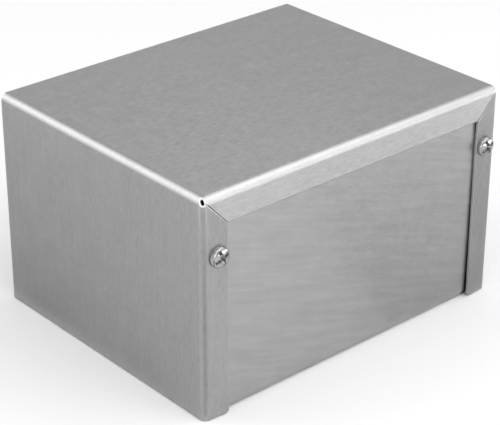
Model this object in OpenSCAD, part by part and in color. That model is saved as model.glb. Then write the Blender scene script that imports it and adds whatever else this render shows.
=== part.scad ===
// Two-piece folded aluminium enclosure: a plain U-shaped base, a flanged cover that
// drops over it, and four self-tapping screws through the cover's side flanges.
// Millimetres. The front is -Y, +Z is up, and the origin is at the middle of the underside.

/* [Enclosure] */
// Width across the outside of the cover
box_w = 127; // [90:1:200]
// Depth over the front and rear flanges
box_d = 103; // [70:1:160]
// Height from the underside of the base to the top of the cover
box_h = 76.2; // [50:0.1:120]

/* [Sheet] */
// Thickness of the aluminium sheet
sheet_t = 1; // [0.8:0.1:1.2]
// Inside radius of every bend
bend_r = 1.5; // [1.3:0.1:1.8]

/* [Cover flanges] */
// Depth of the top flanges, measured down from the top face
top_flange_h = 10.3; // [9:0.1:14]
// Width of the side flanges, measured in from the side face
side_flange_w = 9.5; // [9:0.1:14]
// Radius on the inner corner of each flange foot
foot_r = 1.5; // [0.5:0.1:2]
// Width of the mitred slit between a top flange and a side flange
mitre_gap = 0.2; // [0.1:0.05:0.6]
// Width of the bend relief hole at each top corner
relief_w = 1.4; // [1:0.1:1.8]
// Height of the bend relief hole, measured up the corner
relief_h = 2.3; // [2:0.1:3]
// Height of the cover's cut edges above the underside of the base
cover_lift = 0.2; // [0.1:0.1:0.6]

/* [Base] */
// Clearance between the cut edges of the base and the start of the cover's bends
edge_clear = 0.3; // [0.1:0.1:1.5]
// Radius on the upper corners of the end panels
panel_corner_r = 2; // [0.5:0.1:4]

/* [Screws] */
// Distance of each screw from the side face
screw_in = 5.85; // [5.6:0.05:7]
// Distance of each screw below the top face
screw_down = 20.1; // [15:0.1:30]
// Diameter of the pan head
head_d = 7; // [6.4:0.1:7.4]
// Height of the pan head
head_h = 2.4; // [2.2:0.1:2.6]
// Diameter of the shank at the root of its thread
shank_d = 2.6; // [2.4:0.1:2.7]
// Length of the screw under its head
shank_l = 9.5; // [6:0.5:12]
// Diameter of the clearance holes in the flanges
clearance_d = 3.9; // [3.6:0.1:4]
// Diameter of the pilot holes in the end panels
pilot_d = 2.8; // [2.8:0.1:3]

/* [Hidden] */
$fn = 64;
// Cuts run this far past the faces that they break through
past = 1;

bend_outer_r = bend_r + sheet_t;
// The cuts in each end go through the flanges and as far round the corner bends as the relief holes
mitre_depth = 1.5 * sheet_t;

// The flanges lie flat on the end panels, and the cut edges stop short of the bends in the cover
base_w = box_w - 2 * (bend_outer_r + edge_clear);
base_d = box_d - 2 * sheet_t;
base_h = box_h - bend_outer_r - edge_clear;

screw_x = box_w / 2 - screw_in;
screw_z = box_h - screw_down;

// Pan head: rounded shoulder, then a low crown across the top
shoulder_r = 1.2;
crown_r = 7;
tip_l = 1.6;
tip_d = 0.8;

// Cross recess: four arms that narrow towards the bottom of the socket
recess_arm_w = 1.2;
recess_d = 6.5;
recess_floor_d = 3.2;
recess_depth = 1.8;
// Turn of each screw's cross as it was driven home, front pair and then rear pair
recess_turns = [22, 24, 65, 41];

// Rectangle standing on y = foot, centred on x, with its two upper corners rounded
module arch(w, h, r, foot) {
    translate([-w / 2, foot])
        square([w, h - r - foot]);
    translate([r - w / 2, foot])
        square([w - 2 * r, h - foot]);
    for (side = [-1, 1])
        translate([side * (w / 2 - r), h - r])
            circle(r);
}

// Rectangle centred on the origin with its four corners rounded
module rounded_rectangle(w, d, r) {
    square([w, d - 2 * r], center = true);
    square([w - 2 * r, d], center = true);
    for (x = [-1, 1], y = [-1, 1])
        translate([x * (w / 2 - r), y * (d / 2 - r)])
            circle(r);
}

// Block whose upright edges and top edges are all rounded, as sheet bent round every side
module bent_block(w, d, h, r, foot) {
    intersection() {
        rotate([90, 0, 0])
            linear_extrude(d, center = true)
                arch(w, h, r, foot);
        rotate([90, 0, 90])
            linear_extrude(w, center = true)
                arch(d, h, r, foot);
        translate([0, 0, foot])
            linear_extrude(h - foot)
                rounded_rectangle(w, d, r);
    }
}

// Children at the front and at the rear: x across, y up and z out of that end of the box
module at_each_end() {
    for (end = [0, 1])
        rotate([0, 0, 180 * end])
            translate([0, -box_d / 2, 0])
                rotate([90, 0, 0])
                    let ($end = end)
                        children();
}

// Children at the four screw places, with z out of the end of the box
module at_each_screw() {
    at_each_end()
        for (side = [0, 1])
            translate([(2 * side - 1) * screw_x, screw_z, 0])
                let ($driven = recess_turns[2 * $end + side])
                    children();
}

// Opening that the flanges leave in an end of the cover, with a flared foot at each side
module flange_window() {
    edge = box_w / 2 - side_flange_w;
    translate([-edge, -past])
        square([2 * edge, box_h - top_flange_h + past]);
    translate([-edge - foot_r, -past])
        square([2 * (edge + foot_r), past + cover_lift]);
    difference() {
        translate([-edge - foot_r, cover_lift])
            square([2 * (edge + foot_r), foot_r]);
        for (side = [-1, 1])
            translate([side * (edge + foot_r), cover_lift + foot_r])
                circle(foot_r);
    }
}

// Slit along each mitre, from the outer corner to the corner of the opening
module mitre_slits() {
    mitre_l = norm([side_flange_w, top_flange_h]);
    mitre_turn = atan2(top_flange_h, side_flange_w);
    for (side = [0, 1])
        mirror([side, 0])
            translate([-box_w / 2, box_h])
                rotate(-mitre_turn)
                    translate([0, -mitre_gap / 2])
                        square([mitre_l, mitre_gap]);
}

// Slot with round ends where three bends meet, running up the corner and cut square to it
module corner_relief() {
    corner_lean = atan(sqrt(2));
    run = relief_h - relief_w;
    for (x = [-1, 1], y = [-1, 1])
        translate([x * (box_w / 2 - bend_outer_r), y * (box_d / 2 - bend_outer_r), box_h - bend_outer_r])
            rotate([0, corner_lean, atan2(y, x)])
                linear_extrude(2 * bend_outer_r) {
                    square([run, relief_w], center = true);
                    for (end = [-1, 1])
                        translate([end * run / 2, 0])
                            circle(d = relief_w);
                }
}

module cover() {
    color([0.68, 0.68, 0.69])
        difference() {
            bent_block(box_w, box_d, box_h, bend_outer_r, cover_lift);
            bent_block(box_w - 2 * sheet_t, box_d - 2 * sheet_t, box_h - sheet_t, bend_r, -past);
            at_each_end()
                translate([0, 0, -mitre_depth])
                    linear_extrude(mitre_depth + past) {
                        flange_window();
                        mitre_slits();
                    }
            corner_relief();
            at_each_screw()
                translate([0, 0, -sheet_t - past])
                    cylinder(h = sheet_t + 2 * past, d = clearance_d);
        }
}

// Section of the base: floor and two end panels in one strip, bent up round both ends
module base_section() {
    difference() {
        translate([0, base_h])
            rotate(180)
                arch(base_d, base_h, bend_outer_r, 0);
        translate([0, base_h])
            rotate(180)
                arch(base_d - 2 * sheet_t, base_h - sheet_t, bend_r, -past);
    }
}

// Face of an end panel, with its upper corners rounded
module base_face() {
    arch(base_w, base_h, panel_corner_r, -past);
}

module base() {
    color([0.72, 0.72, 0.73])
        difference() {
            intersection() {
                rotate([90, 0, 90])
                    linear_extrude(base_w + 2 * past, center = true)
                        base_section();
                rotate([90, 0, 0])
                    linear_extrude(box_d, center = true)
                        base_face();
            }
            at_each_screw()
                translate([0, 0, -2 * sheet_t - past])
                    cylinder(h = 2 * sheet_t + 2 * past, d = pilot_d);
        }
}

// Half outline of the pan head, ready to be revolved
module head_profile() {
    intersection() {
        translate([0, head_h - crown_r])
            circle(crown_r);
        union() {
            square([head_d / 2, head_h - shoulder_r]);
            square([head_d / 2 - shoulder_r, head_h]);
            translate([head_d / 2 - shoulder_r, head_h - shoulder_r])
                circle(shoulder_r);
        }
        square([head_d / 2, head_h]);
    }
}

// Cross-shaped socket, cut down from the crown
module cross_recess() {
    cut = recess_depth + past;
    widened_d = recess_floor_d + (recess_d - recess_floor_d) * cut / recess_depth;
    translate([0, 0, head_h - recess_depth])
        intersection() {
            cylinder(h = cut, d1 = recess_floor_d, d2 = widened_d);
            for (turn = [0, 90])
                rotate(turn)
                    translate([-widened_d, -recess_arm_w / 2, 0])
                        cube([2 * widened_d, recess_arm_w, cut]);
        }
}

// One screw with the underside of its head at z = 0 and its point towards -Z
module screw() {
    difference() {
        rotate_extrude()
            head_profile();
        cross_recess();
    }
    translate([0, 0, tip_l - shank_l])
        cylinder(h = shank_l - tip_l, d = shank_d);
    translate([0, 0, -shank_l])
        cylinder(h = tip_l, d1 = tip_d, d2 = shank_d);
}

module cover_screws() {
    color([0.8, 0.8, 0.82])
        at_each_screw()
            rotate($driven)
                screw();
}

base();
cover();
cover_screws();
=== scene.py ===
import math

import bmesh
import bpy
from mathutils import Matrix, Vector
from mathutils.geometry import delaunay_2d_cdt, intersect_point_line


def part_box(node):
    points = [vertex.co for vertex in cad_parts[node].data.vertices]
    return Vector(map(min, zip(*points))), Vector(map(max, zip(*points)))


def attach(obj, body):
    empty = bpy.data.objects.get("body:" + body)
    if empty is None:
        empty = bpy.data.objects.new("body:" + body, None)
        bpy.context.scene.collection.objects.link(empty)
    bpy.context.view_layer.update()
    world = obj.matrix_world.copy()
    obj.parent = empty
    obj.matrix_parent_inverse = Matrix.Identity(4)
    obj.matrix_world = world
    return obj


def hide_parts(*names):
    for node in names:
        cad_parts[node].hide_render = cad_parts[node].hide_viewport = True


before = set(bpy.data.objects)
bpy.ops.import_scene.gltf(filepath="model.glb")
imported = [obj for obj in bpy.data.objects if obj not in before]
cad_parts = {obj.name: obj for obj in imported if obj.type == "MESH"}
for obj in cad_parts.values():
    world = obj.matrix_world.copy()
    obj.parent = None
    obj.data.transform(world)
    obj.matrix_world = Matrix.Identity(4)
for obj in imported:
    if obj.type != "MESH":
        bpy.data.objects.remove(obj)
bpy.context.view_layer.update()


# Base
# The lower half of the box: one plain strip of soft aluminium sheet, sheared to length and bent up
# at both ends on a press brake. Its floor carries the box, and its two upright ends are the front
# and rear panels, each drilled with a small pilot hole near both sides for the self-tapping screws.
MM = 0.001
scene = bpy.context.scene
base_low, base_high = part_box("base")
cover_low, cover_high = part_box("cover")
screws_low, screws_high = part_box("cover_screws")
head_d = screws_high.z - screws_low.z
screw_x = screws_high.x - head_d / 2
screw_z = (screws_low.z + screws_high.z) / 2

SHEET_T = base_low.y - cover_low.y
BEND_OUTER_R = 2.5 * MM
BEND_LENGTH = BEND_OUTER_R * math.pi / 2
BEND_STEPS = 10
PANEL_CORNER_R = 2.0 * MM
PILOT_R = 1.4 * MM
CORNER_STEPS = 8
CIRCLE_STEPS = 40
GRID_STEP = 9 * MM
MERGE_WITHIN = 1e-8
EDGE_ROUND = 0.25 * MM
# Highlight painted lighter into the colour along every broken cut edge
EDGE_PAINTED_SHEEN = 0.2
BURR_SHARE = 0.3

# Steps across a broken edge, from the cut inwards: share of its width, and of its painted highlight there
EDGE_STEPS = ((0, 1), (0.1, 1), (0.3, 1), (0.6, 0.8), (1, 0))


def cut_point(x, y, rounding=EDGE_ROUND, painted_sheen=EDGE_PAINTED_SHEEN):
    """Point on a cut edge, with the radius it is broken to and its painted highlight (shade if negative).
    """
    return Vector((x, y, rounding, painted_sheen))


def arc(x, y, radius, start, end, steps):
    """Points on an arc, with both ends, from one angle to another."""
    angles = [start + (end - start) * i / steps for i in range(steps + 1)]
    return [cut_point(x + radius * math.cos(a), y + radius * math.sin(a)) for a in angles]


def hole(x, y, radius):
    """Clockwise circle, so that the sheet lies to the left of it."""
    return arc(x, y, radius, 0, -2 * math.pi, CIRCLE_STEPS)[:-1]


def sides(loop):
    """Both ends of each side of a closed loop."""
    return zip(loop, loop[1:] + loop[:1])


def inset(loop, share):
    """A closed loop moved to its left, into the sheet, by a share of the rounding at each point."""
    moved = []
    for before, here, after in zip(loop[-1:] + loop[:-1], loop, loop[1:] + loop[:1]):
        arriving = (here.xy - before.xy).normalized()
        leaving = (after.xy - here.xy).normalized()
        normal = Vector((-arriving.y - leaving.y, arriving.x + leaving.x))
        moved.append(here.xy + normal * (2 * share * here.z / normal.length_squared))
    return moved


def inside(point, loops):
    """Whether a point lies in the sheet: within the outline and within no hole."""
    crossings = 0
    for loop in loops:
        for a, b in sides(loop):
            if (a.y > point.y) != (b.y > point.y):
                crossings += point.x < a.x + (b.x - a.x) * (point.y - a.y) / (b.y - a.y)
    return crossings % 2 == 1


def even_lines(start, end):
    """Places of grid lines across a flat, no further apart than the grid step."""
    count = max(1, math.ceil((end - start) / GRID_STEP))
    return [start + (end - start) * i / count for i in range(1, count)]


def bend_lines(start):
    """Places of the close grid lines that a bend needs to come out round."""
    return [start + BEND_LENGTH * i / BEND_STEPS for i in range(BEND_STEPS + 1)]


def edge_fall(share):
    """How far a broken edge has fallen at a share of its width, as a share of its radius."""
    return 1 - math.sqrt(1 - (1 - share) ** 2)


def edge_sheen(share):
    """How much of its painted highlight a broken edge has at a share of its width."""
    for (low, low_bright), (high, high_bright) in zip(EDGE_STEPS, EDGE_STEPS[1:]):
        if share <= high:
            return low_bright + (high_bright - low_bright) * (share - low) / (high - low)
    return 0.0


def broken_edge(spot, loops):
    """Depth and painted highlight of a spot on the nearest cut edge's rounding; none if it lies further in.
    """
    nearest, edge = math.inf, None
    for loop in loops:
        for a, b in sides(loop):
            reach = max(a.z, b.z)
            if (min(a.x, b.x) - reach < spot.x < max(a.x, b.x) + reach
                    and min(a.y, b.y) - reach < spot.y < max(a.y, b.y) + reach):
                along = min(max(intersect_point_line(spot, a.xy, b.xy)[1], 0.0), 1.0)
                here = a.lerp(b, along)
                away = (spot - here.xy).length
                if away < nearest:
                    nearest, edge = away, here
    if edge is None or nearest >= edge.z:
        return 0.0, 0.0
    share = nearest / edge.z
    return edge_fall(share) * edge.z, edge_sheen(share) * edge.w


def lay_out(loops, lines_x, lines_y):
    """Points and triangles of a flat sheet, with each point's depth on a broken edge and its painted
    highlight.

    A point on one of the steps across an edge takes that step's depth, and any other the nearest edge's."""
    reach = 2 * max(max(abs(p.x), abs(p.y)) for p in loops[0])
    points, edges, depths, step_sheens = [], [], [], []
    for share, bright in EDGE_STEPS:
        for loop in loops:
            first = len(points)
            points += inset(loop, share)
            edges += [(first + i, first + (i + 1) % len(loop)) for i in range(len(loop))]
            depths += [edge_fall(share) * p.z for p in loop]
            step_sheens += [bright * p.w for p in loop]
    grid = [((x, -reach), (x, reach)) for x in lines_x] + [((-reach, y), (reach, y)) for y in lines_y]
    for start, end in grid:
        points += [Vector(start), Vector(end)]
        edges.append((len(points) - 2, len(points) - 1))
    flat, flat_edges, faces, _, from_edges, _ = delaunay_2d_cdt(points, edges, [], 0, MERGE_WITHIN)
    sunk = [0.0] * len(flat)
    sheens = [0.0] * len(flat)
    on_edge = [False] * len(flat)
    for ends, sources in zip(flat_edges, from_edges):
        for source in sources:
            if source < len(depths):
                a, b = edges[source]
                run = points[b] - points[a]
                for end in ends:
                    share = (flat[end] - points[a]).dot(run) / run.length_squared
                    on_edge[end] = True
                    sunk[end] = max(sunk[end], depths[a] + (depths[b] - depths[a]) * share)
                    sheens[end] = step_sheens[a] + (step_sheens[b] - step_sheens[a]) * share
    for i, spot in enumerate(flat):
        if not on_edge[i]:
            sunk[i], sheens[i] = broken_edge(spot, loops)
    kept = [f for f in faces if inside(sum((flat[i] for i in f), Vector((0, 0))) / 3, loops)]
    return flat, kept, sunk, sheens


def finished_mesh(edit, name):
    """Mesh from one that was being built, which is let go."""
    made = bpy.data.meshes.new(name)
    edit.to_mesh(made)
    edit.free()
    return made


def cut_sheet(name, loops, lines_x, lines_y):
    """Flat sheet cut to an outline and holes, outer skin at z = 0, with broken edges and a bending grid."""
    flat, faces, sunk, sheens = lay_out(loops, lines_x, lines_y)
    edit = bmesh.new()
    sheared = edit.faces.layers.float.new("sheared")
    # Mark of the highlight painted into the sheet's colour, with painted shade where it is negative
    painted_sheen = edit.verts.layers.float.new("painted_sheen")
    outer, inner = {}, {}
    for i in sorted({i for f in faces for i in f}):
        outer[i] = edit.verts.new((flat[i].x, flat[i].y, -sunk[i]))
        outer[i][painted_sheen] = sheens[i]
        inner[i] = edit.verts.new((flat[i].x, flat[i].y, sunk[i] * BURR_SHARE - SHEET_T))
    for f in faces:
        edit.faces.new([outer[i] for i in f])
        edit.faces.new([inner[i] for i in reversed(f)])
    face_sides = dict.fromkeys(side for f in faces for side in sides(f))
    for a, b in face_sides:
        if (b, a) not in face_sides:
            edit.faces.new([outer[b], outer[a], inner[a], inner[b]])[sheared] = 1.0
    grain = edit.loops.layers.uv.new("grain")
    for face in edit.faces:
        face.smooth = True
        for corner in face.loops:
            corner[grain].uv = corner.vert.co.xy
    return finished_mesh(edit, name)


def add(tree, kind, *inputs, **settings):
    """New node, with its inputs in order: a socket to link, a plain value, or None to leave as it is."""
    made = tree.nodes.new(kind)
    for setting, value in settings.items():
        setattr(made, setting, value)
    for socket, value in zip(made.inputs, inputs):
        if isinstance(value, bpy.types.NodeSocket):
            tree.links.new(value, socket)
        elif value is not None:
            socket.default_value = value
    return made.outputs[0]


def calculate(tree, operation, *inputs):
    """Math node."""
    return add(tree, "ShaderNodeMath", *inputs, operation=operation)


def new_tree(name, inputs):
    """Geometry tree with named inputs, each with its kind; gives the tree and its input sockets."""
    tree = bpy.data.node_groups.new(name, "GeometryNodeTree")
    tree.interface.new_socket("Geometry", in_out="OUTPUT", socket_type="NodeSocketGeometry")
    for label, kind in inputs.items():
        tree.interface.new_socket(label, in_out="INPUT", socket_type="NodeSocket" + kind)
    source = tree.nodes.new("NodeGroupInput")
    return tree, {label: source.outputs[label] for label in inputs}


def close_tree(tree, geometry, material=None):
    """End of a tree: plain geometry with its material, or the bare result of an inner group."""
    if material:
        geometry = add(tree, "GeometryNodeRealizeInstances", geometry)
        geometry = add(tree, "GeometryNodeSetMaterial", geometry, None, material)
    tree.links.new(geometry, tree.nodes.new("NodeGroupOutput").inputs[0])


def placed(name, data):
    """New object in the scene."""
    made = bpy.data.objects.new(name, data)
    scene.collection.objects.link(made)
    return made


def apply_modifier(piece, modifier):
    """Gives a piece the plain mesh that its modifier makes, and takes the modifier off."""
    graph = bpy.context.evaluated_depsgraph_get()
    made = bpy.data.meshes.new_from_object(piece.evaluated_get(graph), depsgraph=graph)
    piece.modifiers.remove(modifier)
    piece.data = made


def run_tree(name, mesh, tree, values):
    """Object whose mesh is what the tree makes of the given mesh with these named sizes."""
    piece = placed(name, mesh)
    modifier = piece.modifiers.new(name, "NODES")
    modifier.node_group = tree
    for item in tree.interface.items_tree:
        if item.in_out == "INPUT" and item.name in values:
            modifier[item.identifier] = values[item.name]
    apply_modifier(piece, modifier)
    return piece


def press_brake():
    """Group that bends all that lies past a line down round a radius, as a press brake does."""
    tree, given = new_tree("press_brake", {
        "Geometry": "Geometry", "Direction": "Vector", "Line": "Float", "Outside Radius": "Float",
        "Angle": "Float"})
    radius, direction = given["Outside Radius"], given["Direction"]
    place = add(tree, "GeometryNodeInputPosition")
    along = add(tree, "ShaderNodeVectorMath", place, direction, operation="DOT_PRODUCT")
    height = add(tree, "ShaderNodeSeparateXYZ", place).node.outputs["Z"]
    past = calculate(tree, "SUBTRACT", along.node.outputs["Value"], given["Line"])
    turn = add(tree, "ShaderNodeClamp", calculate(tree, "DIVIDE", past, radius), 0.0, given["Angle"])
    rest = calculate(tree, "SUBTRACT", past, calculate(tree, "MULTIPLY", radius, turn))
    swing = calculate(tree, "ADD", radius, height)
    sine, cosine = calculate(tree, "SINE", turn), calculate(tree, "COSINE", turn)
    reached = calculate(tree, "ADD", calculate(tree, "MULTIPLY", swing, sine),
                        calculate(tree, "MULTIPLY", rest, cosine))
    fallen = calculate(tree, "SUBTRACT", calculate(tree, "MULTIPLY", swing, cosine),
                       calculate(tree, "MULTIPLY", rest, sine))
    onward = calculate(tree, "SUBTRACT", reached, past)
    down = calculate(tree, "SUBTRACT", fallen, swing)
    shift = add(tree, "ShaderNodeVectorMath", direction, None, None, onward, operation="SCALE")
    drop = add(tree, "ShaderNodeCombineXYZ", 0.0, 0.0, down)
    offset = add(tree, "ShaderNodeVectorMath", shift, drop, operation="ADD")
    close_tree(tree, add(tree, "GeometryNodeSetPosition", given["Geometry"], True, place, offset))
    return tree


def bend(tree, brake, geometry, direction, line, radius, angle):
    """One bend in a sheet's tree."""
    return add(tree, "GeometryNodeGroup", geometry, direction, line, radius, angle, node_tree=brake)


# Length, width and detail of the fine streaks, broad streaks and clouds of a rolled sheet
FINE_STREAK = (2.9 * MM, 0.62 * MM, 2.0)
BROAD_STREAK = (26 * MM, 2.2 * MM, 2.0)
CLOUD = (9 * MM, 7 * MM, 3.0)

STREAK_HARSHNESS = 0.55
NOISE_LOW, NOISE_HIGH = 0.3, 0.7
CLOUD_TONES = (0.975, 1.025)
SPECK_SPACING = 22 * MM
SPECK_INNER, SPECK_OUTER = 0.004, 0.01
SPECK_TONE = 1.3
SHEARED_TONE = 1.1
# Painted highlight at which the grain has faded to the share of it that is left
FULL_SHEEN = 0.4
GRAIN_LEFT_UNDER_SHEEN = 0.3
ROLLED_ROUGHNESS = (0.33, 0.43)
ROUGHER_WHERE_SHEARED = 0.2
ROLLED_BUMPS = 0.06
BUMP_HEIGHT = 0.02 * MM
TURN_ACROSS_GRAIN = 0.25


def bare_material(name):
    """New material with an empty tree; gives both."""
    material = bpy.data.materials.new(name)
    material.use_nodes = True
    material.node_tree.nodes.clear()
    return material, material.node_tree


def marked(tree, name):
    """Value of a mark that the mesh carries."""
    made = tree.nodes.new("ShaderNodeAttribute")
    made.attribute_name = name
    return made.outputs["Fac"]


def fade(tree, value, start, end, before, after):
    """Passes from one value to another as an input goes from its start to its end."""
    return add(tree, "ShaderNodeMapRange", value, start, end, before, after)


def spread(tree, noise, low, high):
    """Noise, most of which lies about the middle, spread over a whole span."""
    return fade(tree, noise, NOISE_LOW, NOISE_HIGH, low, high)


def bare_metal(tree, colour, tint, roughness, bumps, strength):
    """Metal of a tinted colour with slight bumps; gives its shader."""
    metal = add(tree, "ShaderNodeVectorMath", colour, None, None, tint, operation="SCALE")
    bump = tree.nodes.new("ShaderNodeBump")
    bump.inputs["Strength"].default_value = strength
    bump.inputs["Distance"].default_value = BUMP_HEIGHT
    tree.links.new(bumps, bump.inputs["Height"])
    shader = tree.nodes.new("ShaderNodeBsdfPrincipled")
    shader.inputs["Metallic"].default_value = 1.0
    for socket, value in (("Base Color", metal), ("Roughness", roughness), ("Normal", bump.outputs[0])):
        tree.links.new(value, shader.inputs[socket])
    tree.links.new(shader.outputs[0], tree.nodes.new("ShaderNodeOutputMaterial").inputs[0])
    return shader


def rolled_aluminium(name, colour, directional, grain_turn, grain, streaks):
    """Mill-finish sheet: fine streaks along the grain, soft clouds in the shine and a few bright specks.

    The sheet's flat layout gives the grain, which then follows every bend."""
    material, tree = bare_material(name)
    flat = add(tree, "ShaderNodeUVMap", uv_map="grain")

    def mottle(length, width, detail):
        laid = add(tree, "ShaderNodeMapping", flat, None, (0.0, 0.0, grain_turn), (length, width, 1.0),
                   vector_type="TEXTURE")
        return add(tree, "ShaderNodeTexNoise", laid, None, 1.0, detail, STREAK_HARSHNESS,
                   noise_dimensions="2D")

    fine, broad, cloud = mottle(*FINE_STREAK), mottle(*BROAD_STREAK), mottle(*CLOUD)
    cut, sheen_mark = marked(tree, "sheared"), marked(tree, "painted_sheen")
    speck = add(tree, "ShaderNodeTexVoronoi", flat, None, 1 / SPECK_SPACING, voronoi_dimensions="2D")
    streaky = calculate(tree, "ADD", spread(tree, fine, -grain, grain),
                        spread(tree, broad, -streaks, streaks))
    # The grain fades where a highlight is painted
    kept_grain = fade(tree, sheen_mark, 0.0, FULL_SHEEN, 1.0, GRAIN_LEFT_UNDER_SHEEN)
    tint = calculate(tree, "MULTIPLY_ADD", streaky, kept_grain, 1.0)
    # The marked highlight is painted into the colour: lighter where it is above nought, darker below
    for tone in (spread(tree, cloud, *CLOUD_TONES),
                 fade(tree, speck, SPECK_INNER, SPECK_OUTER, SPECK_TONE, 1.0),
                 fade(tree, cut, 0.0, 1.0, 1.0, SHEARED_TONE),
                 calculate(tree, "ADD", sheen_mark, 1.0)):
        tint = calculate(tree, "MULTIPLY", tint, tone)
    rough = calculate(tree, "ADD", spread(tree, fine, *ROLLED_ROUGHNESS),
                      calculate(tree, "MULTIPLY", cut, ROUGHER_WHERE_SHEARED))
    shader = bare_metal(tree, colour, tint, rough, fine, ROLLED_BUMPS)
    shader.inputs["Anisotropic"].default_value = directional
    shader.inputs["Anisotropic Rotation"].default_value = TURN_ACROSS_GRAIN + grain_turn / (2 * math.pi)
    along = add(tree, "ShaderNodeTangent", direction_type="UV_MAP", uv_map="grain")
    tree.links.new(along, shader.inputs["Tangent"])
    return material


def even_shading(piece):
    """Keeps the flats flat up to their bends and broken edges."""
    normals = piece.modifiers.new("even_shading", "WEIGHTED_NORMAL")
    normals.keep_sharp = True


base_half_w = base_high.x
floor_half = base_high.y - BEND_OUTER_R
base_reach = floor_half + BEND_LENGTH + base_high.z - BEND_OUTER_R
pilot_reach = floor_half + BEND_LENGTH + screw_z - BEND_OUTER_R
base_outline = []
for corner in range(4):
    turn = corner * math.pi / 2
    centre_x = (base_half_w - PANEL_CORNER_R) * (1 if corner in (0, 3) else -1)
    centre_y = (base_reach - PANEL_CORNER_R) * (1 if corner in (0, 1) else -1)
    base_outline += arc(centre_x, centre_y, PANEL_CORNER_R, turn, turn + math.pi / 2, CORNER_STEPS)
pilots = [hole(x * screw_x, y * pilot_reach, PILOT_R) for x in (-1, 1) for y in (-1, 1)]
base_lines = bend_lines(floor_half) + even_lines(floor_half + BEND_LENGTH, base_reach)
base_blank = cut_sheet(
    "base_blank", [base_outline] + pilots, even_lines(-base_half_w, base_half_w),
    base_lines + [-y for y in base_lines] + even_lines(-floor_half, floor_half))

brake = press_brake()
base_metal = rolled_aluminium("base_aluminium", colour=(0.362, 0.362, 0.365), directional=0.7,
                              grain_turn=math.radians(-19), grain=0.02, streaks=0.044)
base_tree, given = new_tree("bend_base", {
    "Geometry": "Geometry", "Bend Line": "Float", "Outside Radius": "Float"})
shaped = given["Geometry"]
for way in (-1, 1):
    shaped = bend(base_tree, brake, shaped, (0, way, 0), given["Bend Line"],
                  given["Outside Radius"], math.pi / 2)
shaped = add(base_tree, "GeometryNodeTransform", shaped, None, (math.pi, 0, 0))
close_tree(base_tree, shaped, base_metal)
base = run_tree("base_sheet", base_blank, base_tree, {
    "Bend Line": floor_half, "Outside Radius": BEND_OUTER_R})
even_shading(base)
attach(base, "root")
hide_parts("base")


# Cover
# The upper half of the box: one aluminium sheet folded down into the top and both sides, with narrow
# flanges turned in round the front and rear ends. The flanges are mitred at the top corners, where a
# small leaning oval slot keeps three bends apart, and screws hold the side flanges to the base.
TOP_FLANGE_H = 10.3 * MM
SIDE_FLANGE_W = 9.5 * MM
FOOT_R = 1.5 * MM
CLEARANCE_R = 1.95 * MM
TOP_EDGE_ROUND = 0.35 * MM
# Shade painted darker along the lower cut edges of the top flanges
TOP_EDGE_PAINTED_SHADE = -0.3
RELIEF_W = 1.15 * MM
RELIEF_H = 2.5 * MM
RELIEF_DROP = 0.3 * MM
RELIEF_SHIFT = 0.22 * MM
RELIEF_LEAN = math.radians(18)
RELIEF_ROUND = 0.65 * MM
# Highlight painted lighter into the colour round the relief slot's rim
RELIEF_PAINTED_SHEEN = 0.9
OPEN_MITRE = 0.055 * MM
OPEN_SIDE_ROUND = 0.65 * MM
OPEN_TOP_ROUND = 0.15 * MM
CLOSED_MITRE = 0.004 * MM
SLIT_STEPS = 5

# How much highlight is painted along the bends, and how closely that keeps to their middles
SIDE_BEND_PAINTED_SHEEN = 0.82
SIDE_BEND_FOCUS = 3
FLANGE_BEND_PAINTED_SHEEN = 0.56
FLANGE_BEND_FOCUS = 2

# A side flange springs back away from its screw, at the rate of this angle over these distances below
# and above it, beginning past the share of them that the screw's head holds flat
SPRING_BACK = math.radians(4.2)
DRAWN_BELOW = 56 * MM
DRAWN_ABOVE = 22 * MM
HEAD_SHARE = 0.05

top_half_x = cover_high.x - BEND_OUTER_R
top_half_y = cover_high.y - BEND_OUTER_R
side_start = top_half_x + BEND_LENGTH
side_end = side_start + cover_high.z - BEND_OUTER_R - cover_low.z
flange_start = top_half_y + BEND_LENGTH
top_flange_end = flange_start + TOP_FLANGE_H - BEND_OUTER_R
side_flange_end = flange_start + SIDE_FLANGE_W - BEND_OUTER_R
screw_line = side_start + cover_high.z - BEND_OUTER_R - screw_z
hole_line = flange_start + cover_high.x - screw_x - BEND_OUTER_R


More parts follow.
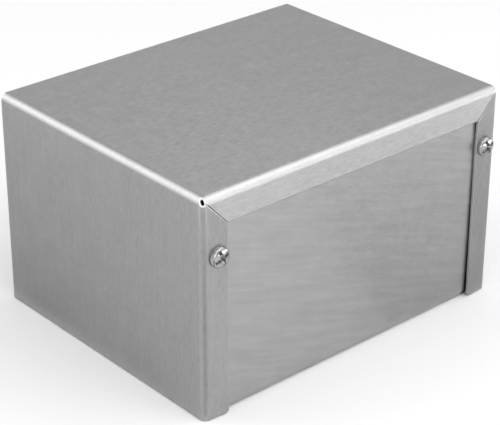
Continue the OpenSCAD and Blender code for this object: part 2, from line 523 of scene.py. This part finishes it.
def corner_cut(gap, side_round, top_round):
    """Edge of the sheet from a side flange, in round the relief slot and out to the top flange.

    The slot is drawn as it will lie once the sheet is bent, on a ball of the bend's radius."""
    corner = Vector((1, 1, 1)).normalized()
    across = Vector((1, 0, -1)).normalized()
    forward = Vector((-1, 2, -1)).normalized()
    upward = Vector((-1, -1, 2)).normalized()
    sideways = upward.cross(corner)
    slot_long = upward * math.cos(RELIEF_LEAN) - sideways * math.sin(RELIEF_LEAN)
    slot_wide = sideways * math.cos(RELIEF_LEAN) + upward * math.sin(RELIEF_LEAN)
    half_gap = gap / 2

    def laid_flat(direction):
        return cut_point(top_half_x + BEND_OUTER_R * math.atan2(direction.x, direction.z),
                         top_half_y + BEND_OUTER_R * math.asin(direction.y), RELIEF_ROUND, RELIEF_PAINTED_SHEEN)

    mouth = half_gap / (RELIEF_W / 2)
    rim = []
    for i in range(CIRCLE_STEPS + 1):
        a = mouth + (2 * math.pi - 2 * mouth) * i / CIRCLE_STEPS
        way = forward * math.cos(a) + across * math.sin(a)
        radius = 1 / math.hypot(way.dot(slot_long) / (RELIEF_H / 2), way.dot(slot_wide) / (RELIEF_W / 2))
        spot = corner * BEND_OUTER_R + way * radius - upward * RELIEF_DROP - sideways * RELIEF_SHIFT
        rim.append(laid_flat(spot.normalized()))
    middle = top_half_x + BEND_LENGTH / 2
    first_tilt = max((rim[i].y - top_half_y) / BEND_OUTER_R for i in (0, -1))
    last_tilt = math.acos(half_gap / (BEND_LENGTH / 2))
    slit_in, slit_out = [], []
    for i in range(1, SLIT_STEPS + 1):
        tilt = first_tilt + (last_tilt - first_tilt) * i / SLIT_STEPS
        aside = half_gap / math.cos(tilt)
        along = top_half_y + BEND_OUTER_R * tilt
        slit_in.insert(0, cut_point(middle + aside, along, side_round))
        slit_out.append(cut_point(middle - aside, along, top_round))
    run_x = SIDE_FLANGE_W - BEND_OUTER_R
    run_z = TOP_FLANGE_H - BEND_OUTER_R
    run = math.hypot(run_x, run_z)
    side_root = side_start + half_gap * run / run_x
    top_root = top_half_x - half_gap * run / run_z
    return [cut_point(side_root + run_z, side_flange_end), cut_point(side_root, flange_start, side_round),
            *slit_in, *rim, *slit_out,
            cut_point(top_root, flange_start, top_round),
            cut_point(top_root - run_x, top_flange_end, TOP_EDGE_ROUND, TOP_EDGE_PAINTED_SHADE)]


def quarter(gap, side_round, top_round):
    """Outline of a quarter of the flat cover, from its right-hand end round to its far top flange."""
    foot = arc(side_end - FOOT_R, side_flange_end - FOOT_R, FOOT_R, 0, math.pi / 2, CORNER_STEPS)
    return foot + corner_cut(gap, side_round, top_round)


def flipped(points, x, y):
    """A quarter outline in another quarter, still counter-clockwise."""
    moved = [cut_point(p.x * x, p.y * y, p.z, p.w) for p in points]
    return moved if x * y > 0 else moved[::-1]


def turned(distance, start):
    """Angle through which the folded sheet has turned at a distance from its middle line."""
    return min(max((distance - start) / BEND_OUTER_R, 0.0), math.pi / 2)


def met_bends(spot):
    """A point of a corner, folded to a ball, moved out to where three straight bends meet."""
    centre = Vector((math.copysign(top_half_x, spot.x), math.copysign(top_half_y, spot.y),
                     cover_high.z - BEND_OUTER_R))
    reach = spot - centre
    least = min(abs(spot.x) - top_half_x, abs(spot.y) - top_half_y, reach.z)
    if least <= 0:
        return spot
    return centre + reach / math.sqrt(1 - (least / reach.length) ** 2)


tight = quarter(CLOSED_MITRE, CLOSED_MITRE, CLOSED_MITRE)
ajar = quarter(OPEN_MITRE, OPEN_SIDE_ROUND, OPEN_TOP_ROUND)
cover_outline = tight + flipped(tight, -1, 1) + flipped(ajar, -1, -1) + flipped(tight, 1, -1)
clearances = [hole(x * screw_line, y * hole_line, CLEARANCE_R) for x in (-1, 1) for y in (-1, 1)]
lines_x = bend_lines(top_half_x) + even_lines(side_start, side_end)
lines_y = bend_lines(top_half_y)
cover_blank = cut_sheet(
    "cover_blank", [cover_outline] + clearances,
    lines_x + [-x for x in lines_x] + even_lines(-top_half_x, top_half_x),
    lines_y + [-y for y in lines_y] + even_lines(-top_half_y, top_half_y))
# Paints highlights into the colour along the bends, lightest at their middles
for vertex, mark in zip(cover_blank.vertices, cover_blank.attributes["painted_sheen"].data):
    side_turn = turned(abs(vertex.co.x), top_half_x)
    flange_turn = turned(abs(vertex.co.y), top_half_y) if side_turn < math.pi / 2 else 0.0
    mark.value += max(SIDE_BEND_PAINTED_SHEEN * math.sin(2 * side_turn) ** SIDE_BEND_FOCUS,
                      FLANGE_BEND_PAINTED_SHEEN * math.sin(2 * flange_turn) ** FLANGE_BEND_FOCUS)

cover_metal = rolled_aluminium("cover_aluminium", colour=(0.4, 0.4, 0.403), directional=0.85,
                               grain_turn=0.0, grain=0.075, streaks=0.024)
cover_sizes = {
    "Flange Line": top_half_y, "Side Line": top_half_x, "Outside Radius": BEND_OUTER_R,
    "Height": cover_high.z, "Screw Line": screw_line, "Spring Back": SPRING_BACK,
    "Drawn Below": DRAWN_BELOW, "Drawn Above": DRAWN_ABOVE, "Head Share": HEAD_SHARE}
cover_tree, given = new_tree("fold_cover", {
    "Geometry": "Geometry", **{label: "Float" for label in cover_sizes}})
across = add(cover_tree, "ShaderNodeSeparateXYZ", add(cover_tree, "GeometryNodeInputPosition"))
from_middle = calculate(cover_tree, "ABSOLUTE", across)
from_screw = calculate(cover_tree, "SUBTRACT", from_middle, given["Screw Line"])
below = calculate(cover_tree, "DIVIDE", from_screw, given["Drawn Below"])
above = calculate(cover_tree, "DIVIDE", from_screw,
                  calculate(cover_tree, "MULTIPLY", given["Drawn Above"], -1.0))
further = calculate(cover_tree, "MAXIMUM", below, above)
away = calculate(cover_tree, "SUBTRACT", further, given["Head Share"])
away = calculate(cover_tree, "MAXIMUM", away, 0.0)
on_side = calculate(cover_tree, "GREATER_THAN", from_middle, given["Side Line"])
side_spring = calculate(cover_tree, "MULTIPLY", given["Spring Back"], on_side)
sprung = calculate(cover_tree, "MULTIPLY", away, side_spring)
flange_angle = calculate(cover_tree, "SUBTRACT", math.pi / 2, sprung)
shaped = given["Geometry"]
for way in (-1, 1):
    shaped = bend(cover_tree, brake, shaped, (0, way, 0), given["Flange Line"],
                  given["Outside Radius"], flange_angle)
for way in (-1, 1):
    shaped = bend(cover_tree, brake, shaped, (way, 0, 0), given["Side Line"],
                  given["Outside Radius"], math.pi / 2)
lift = add(cover_tree, "ShaderNodeCombineXYZ", 0.0, 0.0, given["Height"])
shaped = add(cover_tree, "GeometryNodeTransform", shaped, lift)
close_tree(cover_tree, shaped, cover_metal)
cover = run_tree("cover_sheet", cover_blank, cover_tree, cover_sizes)
for vertex in cover.data.vertices:
    vertex.co = met_bends(vertex.co)
even_shading(cover)
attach(cover, "root")
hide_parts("cover")


# Screws
# Four pan-head self-tapping screws of zinc-plated steel, cold-headed with a cross recess and with a
# coarse rolled thread. Each goes through a flange's clearance hole and bites into a pilot hole.
HEAD_H = cover_low.y - screws_low.y
CROWN_R = 7.0 * MM
SHOULDER_R = 1.2 * MM
UNDER_EDGE_R = 0.15 * MM
SHANK_L = 9.5 * MM
THREAD_D = 3.4 * MM
ROOT_D = 2.6 * MM
THREAD_PITCH = 1.27 * MM
FLANK_SHARE = 0.28
PLAIN_NECK = 0.6 * MM
TIP_L = 1.8 * MM
TIP_D = 0.8 * MM
RECESS_D = 6.5 * MM
RECESS_FLOOR_D = 3.2 * MM
RECESS_DEPTH = 1.8 * MM
RECESS_POINT = 0.35 * MM
ARM_W = 1.3 * MM
ARM_FLOOR_W = 0.7 * MM
ARM_FILLET_SHARE = 1.55
PUNCH_ABOVE = 0.5 * MM
RIM_ANGLE = math.radians(35)
RIM_ABOVE_SHARE = 0.5
RIM_WITHIN_SHARE = 0.46
RIM_ROUND = 0.06 * MM
RIM_STEPS = 2
RIM_PROFILE = 0.5
# Where shade is painted into the recess: from below its floor to under the crown, within a share of the
# head
SHADE_BELOW_FLOOR = 0.4 * MM
SHADE_UNDER_CROWN = 0.1 * MM
SHADE_WITHIN_SHARE = 0.43
SHARP_ANGLE = math.radians(50)
HEAD_STEPS = 8
UNDER_EDGE_STEPS = 3
STEPS_PER_PITCH = 14
ROUND_STEPS = 48
MOTTLES_PER_METRE = 900.0
MOTTLE_DETAIL = 3.0
MOTTLE_HARSHNESS = 0.6
PLATE_COLOUR = (0.39, 0.39, 0.394)
PLATE_TONES = (0.94, 1.06)
PLATE_ROUGHNESS = (0.1, 0.2)
PLATE_BUMPS = 0.15
RECESS_PAINTED_SHADE = 0.65

# How far round each screw is driven, in degrees, by its side, left or right, and its end, front or rear
DRIVEN = {(-1, -1): 22, (1, -1): 24, (-1, 1): 41, (1, 1): 65}


def screw_profile():
    """Radius and height of each ring of a screw, from the middle of its crown down to its tip."""
    crown_z = HEAD_H - CROWN_R
    shoulder_x = head_d / 2 - SHOULDER_R
    shoulder_z = crown_z + math.sqrt((CROWN_R - SHOULDER_R) ** 2 - shoulder_x ** 2)
    lean = math.atan2(shoulder_z - crown_z, shoulder_x)
    rings = [(CROWN_R * math.sin(a), crown_z + CROWN_R * math.cos(a))
             for a in [(math.pi / 2 - lean) * i / HEAD_STEPS for i in range(1, HEAD_STEPS + 1)]]
    rings += [(shoulder_x + SHOULDER_R * math.cos(a), shoulder_z + SHOULDER_R * math.sin(a))
              for a in [lean * (1 - i / HEAD_STEPS) for i in range(1, HEAD_STEPS + 1)]]
    edge_x, edge_z = head_d / 2 - UNDER_EDGE_R, UNDER_EDGE_R
    rings += [(edge_x + UNDER_EDGE_R * math.cos(a), edge_z - UNDER_EDGE_R * math.sin(a))
              for a in [math.pi / 2 * i / UNDER_EDGE_STEPS for i in range(UNDER_EDGE_STEPS + 1)]]
    rings.append((ROOT_D / 2, 0.0))
    count = math.ceil(SHANK_L / THREAD_PITCH * STEPS_PER_PITCH)
    for i in range(1, count + 1):
        z = -SHANK_L * i / count
        to_tip = min(1.0, (SHANK_L + z) / TIP_L)
        rings.append((TIP_D / 2 + (ROOT_D - TIP_D) / 2 * to_tip, z))
    return rings


def thread_height(z, turn):
    """How far the thread stands above its root: sharp crests with flat roots, fading out at both ends."""
    along = (z / THREAD_PITCH - turn / (2 * math.pi)) % 1.0
    crest = max(0.0, 1 - abs(along - 0.5) / FLANK_SHARE)
    start = min(1.0, max(0.0, (-z - PLAIN_NECK) / THREAD_PITCH))
    end = min(1.0, max(0.0, (SHANK_L + z) / TIP_L))
    return (THREAD_D - ROOT_D) / 2 * crest * start * end


def screw_blank():
    """Whole screw before its recess is punched."""
    edit = bmesh.new()
    rows = []
    for radius, z in screw_profile():
        row = []
        for j in range(ROUND_STEPS):
            turn = 2 * math.pi * j / ROUND_STEPS
            reach = radius + (thread_height(z, turn) if z < 0 else 0.0)
            row.append(edit.verts.new((reach * math.cos(turn), reach * math.sin(turn), z)))
        rows.append(row)
    crown = edit.verts.new((0, 0, HEAD_H))
    point = edit.verts.new((0, 0, -SHANK_L))
    for j in range(ROUND_STEPS):
        k = (j + 1) % ROUND_STEPS
        edit.faces.new((crown, rows[0][j], rows[0][k]))
        edit.faces.new((point, rows[-1][k], rows[-1][j]))
        for upper, lower in zip(rows, rows[1:]):
            edit.faces.new((upper[j], lower[j], lower[k], upper[k]))
    return finished_mesh(edit, "screw")


def recess_punch():
    """Cross-shaped punch that narrows towards its floor, ending in a low point."""
    edit = bmesh.new()
    levels = []
    slope = (RECESS_D - RECESS_FLOOR_D) / 2 / RECESS_DEPTH
    narrowing = (ARM_W - ARM_FLOOR_W) / 2 / RECESS_DEPTH
    for rise in (0.0, RECESS_DEPTH + PUNCH_ABOVE):
        arm = RECESS_FLOOR_D / 2 + slope * rise
        half = ARM_FLOOR_W / 2 + narrowing * rise
        fillet = half * ARM_FILLET_SHARE
        ring = []
        for quarter_turn in range(4):
            spin = Matrix.Rotation(quarter_turn * math.pi / 2, 2)
            for x, y in ((arm, -half), (arm, half), (fillet, half), (half, fillet)):
                ring.append(edit.verts.new((*(spin @ Vector((x, y))), HEAD_H - RECESS_DEPTH + rise)))
        levels.append(ring)
    lower, upper = levels
    point = edit.verts.new((0, 0, HEAD_H - RECESS_DEPTH - RECESS_POINT))
    lid = edit.verts.new((0, 0, HEAD_H + PUNCH_ABOVE))
    for i in range(len(lower)):
        k = (i + 1) % len(lower)
        edit.faces.new((lower[i], lower[k], upper[k], upper[i]))
        edit.faces.new((point, lower[k], lower[i]))
        edit.faces.new((lid, upper[i], upper[k]))
    return finished_mesh(edit, "punch")


def on_rim(edge):
    """Whether an edge is one that the punch left high in the head, to be rounded."""
    return (len(edge.link_faces) == 2 and edge.calc_face_angle() > RIM_ANGLE
            and min(v.co.z for v in edge.verts) > HEAD_H * RIM_ABOVE_SHARE
            and max(v.co.xy.length for v in edge.verts) < head_d * RIM_WITHIN_SHARE)


def zinc_plating():
    """Bright plating with a faint mottle, with shade painted darker into the recess."""
    material, tree = bare_material("zinc_plating")
    place = tree.nodes.new("ShaderNodeTexCoord").outputs["Object"]
    mottle = add(tree, "ShaderNodeTexNoise", place, None, MOTTLES_PER_METRE, MOTTLE_DETAIL,
                 MOTTLE_HARSHNESS)
    tone = calculate(tree, "MULTIPLY", spread(tree, mottle, *PLATE_TONES),
                     fade(tree, marked(tree, "painted_recess_shade"), 0.0, 1.0, 1.0, RECESS_PAINTED_SHADE))
    rough = spread(tree, mottle, *PLATE_ROUGHNESS)
    bare_metal(tree, PLATE_COLOUR, tone, rough, mottle, PLATE_BUMPS)
    return material


screw = placed("screw", screw_blank())
punch = placed("punch", recess_punch())
punched = screw.modifiers.new("punched", "BOOLEAN")
punched.operation = "DIFFERENCE"
punched.solver = "EXACT"
punched.object = punch
apply_modifier(screw, punched)
bpy.data.objects.remove(punch)
edit = bmesh.new()
edit.from_mesh(screw.data)
bmesh.ops.bevel(edit, geom=[e for e in edit.edges if on_rim(e)], offset=RIM_ROUND, segments=RIM_STEPS,
                profile=RIM_PROFILE, affect="EDGES", clamp_overlap=True)
# Marks the faces in the recess, which the plating paints darker as shade
recess_shade = edit.faces.layers.float.new("painted_recess_shade")
for face in edit.faces:
    face.smooth = True
    middle = face.calc_center_median()
    crown = HEAD_H - CROWN_R + math.sqrt(CROWN_R ** 2 - middle.xy.length_squared)
    if (HEAD_H - RECESS_DEPTH - SHADE_BELOW_FLOOR < middle.z < crown - SHADE_UNDER_CROWN
            and middle.xy.length < head_d * SHADE_WITHIN_SHARE):
        face[recess_shade] = 1.0
edit.to_mesh(screw.data)
edit.free()
screw.data.set_sharp_from_angle(angle=SHARP_ANGLE)

places = bpy.data.meshes.new("screw_places")
places.from_pydata([(x * screw_x, y * cover_high.y, screw_z) for x, y in DRIVEN], [], [])
turns = [math.radians(a) for a in DRIVEN.values()]
places.attributes.new("turn", "FLOAT", "POINT").data.foreach_set("value", turns)
outwards = [c for _, y in DRIVEN for c in (0.0, float(y), 0.0)]
places.attributes.new("outward", "FLOAT_VECTOR", "POINT").data.foreach_set("vector", outwards)
screw_tree, given = new_tree("drive_screws", {"Geometry": "Geometry", "Screw": "Object"})
outward = add(screw_tree, "GeometryNodeInputNamedAttribute", "outward", data_type="FLOAT_VECTOR")
turn = add(screw_tree, "GeometryNodeInputNamedAttribute", "turn", data_type="FLOAT")
facing = add(screw_tree, "FunctionNodeAlignRotationToVector", None, 1.0, outward, axis="Z")
spun = add(screw_tree, "FunctionNodeAxisAngleToRotation", (0.0, 0.0, 1.0), turn)
driven = add(screw_tree, "FunctionNodeRotateRotation", facing, spun, rotation_space="LOCAL")
one = add(screw_tree, "GeometryNodeObjectInfo", given["Screw"]).node.outputs["Geometry"]
set_in = add(screw_tree, "GeometryNodeInstanceOnPoints", given["Geometry"], True, one, False, 0, driven)
close_tree(screw_tree, set_in, zinc_plating())
screws = run_tree("cover_screws_visual", places, screw_tree, {"Screw": screw})
bpy.data.objects.remove(screw)
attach(screws, "root")
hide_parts("cover_screws")


# Stage
# A plain white floor in a pale surround. Soft lamps stand in one bank to the right of the camera and in
# another behind the box on the left, each with a low strip, and three smaller lamps stand near the box.
# Grey cards on the floor show only in what the metal mirrors and darken its reflections of the floor;
# the black one by the right foot is a painted shadow under the foot.
WHITE = (0.97, 0.97, 0.97)
FLOOR_HALF = 3
SURROUND = 0.71
CARD_H = 0.3 * MM
TARGET = Vector((0, 0, 0.04))

# Grey, and corners on the floor in millimetres
CARDS = {
    "corner_card": (0.39, ((-64.6, -52.0), (-217, -140), (-102, -217), (-63.8, -52.7))),
    "side_card": (0.73, ((-67, 220), (-175, 320), (-175, 90), (-67, 20))),
    "near_side_card": (0.83, ((-67, 20), (-175, 90), (-175, 10), (-67, -50))),
    "left_front_card": (0.8, ((-20, -115), (-20, -190), (70, -190), (42, -115))),
    "right_near_card": (0.74, ((20, -53), (42, -115), (155, -115), (120, -53))),
    "right_far_card": (0.62, ((42, -115), (60, -160), (190, -190), (155, -115))),
    # Black card that paints the shade under the right foot into what the metal mirrors
    "foot_card": (0.02, ((53.6, -49.3), (53.6, -51.3), (58, -51.3), (58, -49.3))),
}

# Direction from the box, distance, width and height in metres, and how bright the lamp's face looks
LAMPS = {
    "right_strip": ((0.59, -0.80, -0.005), 0.55, 0.6, 0.07, 4.4),
    "right_low": ((0.59, -0.80, 0.12), 1.0, 0.6, 0.35, 0.45),
    "right_middle": ((0.59, -0.70, 0.40), 1.0, 0.6, 0.45, 0.45),
    "right_high": ((0.40, -0.42, 0.76), 1.0, 1.0, 0.5, 1.3),
    "left_overhead": ((-0.25, 0.55, 0.80), 1.0, 0.6, 0.5, 0.7),
    "left_middle": ((-0.55, 0.67, 0.50), 1.0, 0.6, 0.45, 1.25),
    "left_low": ((-0.72, 0.67, 0.18), 1.0, 0.6, 0.35, 1.25),
    "left_strip": ((-0.74, 0.67, -0.005), 0.55, 0.6, 0.07, 0.6),
    "near_front": ((-0.20, -0.62, 0.76), 0.50, 0.40, 0.22, 1.3),
    "over_front": ((0.36, -0.06, 0.93), 0.25, 0.12, 0.12, 0.6),
    "near_corner": ((-0.55, -0.80, 0.25), 0.30, 0.2, 0.12, 1.4),
}


def matt_sheet(name, corners, colour):
    """Flat piece of the stage with a matt surface."""
    mesh = bpy.data.meshes.new(name)
    mesh.from_pydata(corners, [], [range(len(corners))])
    paint, tree = bare_material(name)
    matt = add(tree, "ShaderNodeBsdfDiffuse", (*colour, 1.0))
    tree.links.new(matt, tree.nodes.new("ShaderNodeOutputMaterial").inputs[0])
    mesh.materials.append(paint)
    sheet = placed(name, mesh)
    return sheet


def soft_lamp(name, direction, distance, width, height, level):
    """Soft lamp in a direction from the box, turned to face it."""
    lamp = bpy.data.lights.new(name, "AREA")
    lamp.shape = "RECTANGLE"
    lamp.size, lamp.size_y = width, height
    lamp.energy = level * math.pi * width * height
    holder = placed(name, lamp)
    towards = Vector(direction).normalized()
    holder.location = TARGET + towards * distance
    holder.rotation_euler = towards.to_track_quat("Z", "Y").to_euler()
    holder.visible_camera = False


floor_corners = [(x * FLOOR_HALF, y * FLOOR_HALF, 0) for x, y in ((-1, -1), (1, -1), (1, 1), (-1, 1))]
matt_sheet("floor", floor_corners, WHITE)
for name, (grey, corners) in CARDS.items():
    card = matt_sheet(name, [(x * MM, y * MM, CARD_H) for x, y in corners], (grey, grey, grey))
    card.visible_camera = card.visible_diffuse = card.visible_shadow = False

surround = bpy.data.worlds.new("surround")
scene.world = surround
surround.use_nodes = True
background = surround.node_tree.nodes["Background"]
background.inputs["Color"].default_value = (1.0, 1.0, 1.0, 1.0)
background.inputs["Strength"].default_value = SURROUND

for name, values in LAMPS.items():
    soft_lamp(name, *values)


# Camera
# Stands where the photograph was taken from, as a fit of the box's straight edges gives it: how far
# round and how high it stands, how it is rolled, how far away it is, and the point that it looks at.
PICTURE_W = 500
FOCAL_PIXELS = 1772.2
SENSOR_W = 36
AZIMUTH = math.radians(-41.457)
ELEVATION = math.radians(27.368)
ROLL = math.radians(0.178)
DISTANCE = 0.5941
LOOKED_AT = Vector((-0.00189, -0.00232, 0.03232))

lens = bpy.data.cameras.new("camera")
lens.sensor_width = SENSOR_W
lens.lens = SENSOR_W * FOCAL_PIXELS / PICTURE_W
camera = placed("camera", lens)
back = Vector((math.sin(AZIMUTH) * math.cos(ELEVATION), -math.cos(AZIMUTH) * math.cos(ELEVATION),
               math.sin(ELEVATION)))
right = Vector((math.cos(AZIMUTH), math.sin(AZIMUTH), 0))
upright = Matrix((right, back.cross(right), back)).transposed()
camera.matrix_world = (Matrix.Translation(LOOKED_AT + back * DISTANCE)
                       @ (upright @ Matrix.Rotation(ROLL, 3, "Z")).to_4x4())
scene.camera = camera
scene.view_settings.view_transform = "Standard"
